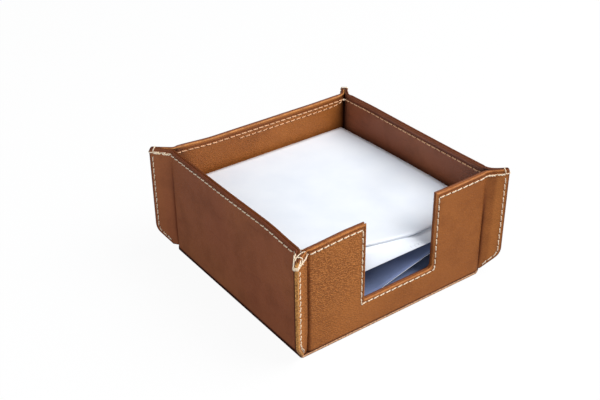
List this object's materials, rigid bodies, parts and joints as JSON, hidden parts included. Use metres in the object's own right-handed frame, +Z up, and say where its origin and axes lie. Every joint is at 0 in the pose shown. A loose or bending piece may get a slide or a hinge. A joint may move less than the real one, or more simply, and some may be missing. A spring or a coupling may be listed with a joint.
{
  "type": "memo sheet tray",
  "caption": "Open square leather tray for loose memo sheets, with a finger notch in its front wall, sewn corner ears and contrast stitching.",
  "frame": {"origin": "centre of the tray's underside, on the surface it stands on", "axes": "+Z up, -Y out through the wall with the finger notch, +X to the right of it"},
  "size_m": [0.1128, 0.1128, 0.0503],
  "materials": {
    "outer_leather": "pebbled, satin",
    "lining_leather": "smooth, satin",
    "base_leather": "cut edge, matte",
    "board": "matte",
    "thread": "waxed twisted thread",
    "paper": "uncoated, matte"
  },
  "bodies": {
    "tray": {"base_cover": "base_leather", "base_board": "board", "base_lining": "lining_leather", "front_outer_leather": "outer_leather", "front_wall_board": "board", "front_lining": "lining_leather", "front_rim_stitching": "thread", "rear_outer_leather": "outer_leather", "rear_wall_board": "board", "rear_lining": "lining_leather", "rear_rim_stitching": "thread", "left_outer_leather": "outer_leather", "left_wall_board": "board", "left_lining": "lining_leather", "left_rim_stitching": "thread", "right_outer_leather": "outer_leather", "right_wall_board": "board", "right_lining": "lining_leather", "right_rim_stitching": "thread", "front_left_ear_stitching": "thread", "front_left_corner_tie": "thread", "front_right_ear_stitching": "thread", "front_right_corner_tie": "thread", "rear_right_ear_stitching": "thread", "rear_right_corner_tie": "thread", "rear_left_ear_stitching": "thread", "rear_left_corner_tie": "thread"},
    "note_pile": {"lower_note_stack": "paper", "curled_note": "paper", "middle_notes": "paper", "upper_notes": "paper"},
    "top_note": {"top_note": "paper"}
  },
  "joints": [
    {"name": "note_pile_lift", "type": "slide", "parent": "tray", "child": "note_pile", "axis": [0, 0, 1], "range_m": [0, 0.055]},
    {"name": "top_note_lift", "type": "slide", "parent": "note_pile", "child": "top_note", "axis": [0, 0, 1], "range_m": [0, 0.03]}
  ]
}
